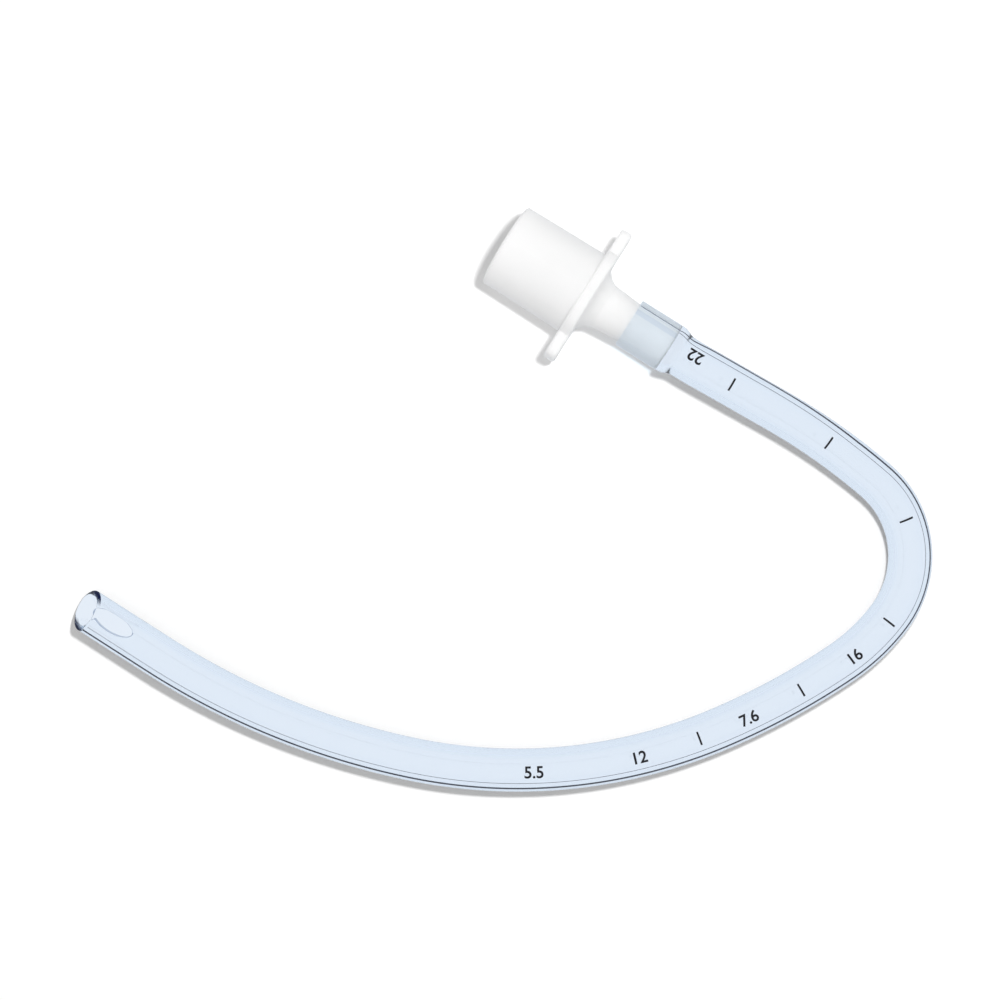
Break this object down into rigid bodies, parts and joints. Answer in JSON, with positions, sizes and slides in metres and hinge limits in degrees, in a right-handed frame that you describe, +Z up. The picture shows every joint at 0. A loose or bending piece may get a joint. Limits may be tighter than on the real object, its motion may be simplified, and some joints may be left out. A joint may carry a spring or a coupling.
{
  "type": "endotracheal tube",
  "caption": "Uncuffed oral tracheal tube, clear and moulded to a bend, with a bevelled patient end, a side hole and a winged 15 mm connector.",
  "frame": {"origin": "on the table, under the middle of the whole object", "axes": "+X runs along the connector's axis from its mouth towards the tube, +Z is up"},
  "size_m": [0.1288, 0.1114, 0.016],
  "materials": {
    "tube": "clear soft PVC with a pale blue tint, glossy",
    "connector": "white translucent polypropylene, satin"
  },
  "bodies": {
    "root": {"tube": "tube", "connector": "connector"}
  },
  "joints": []
}
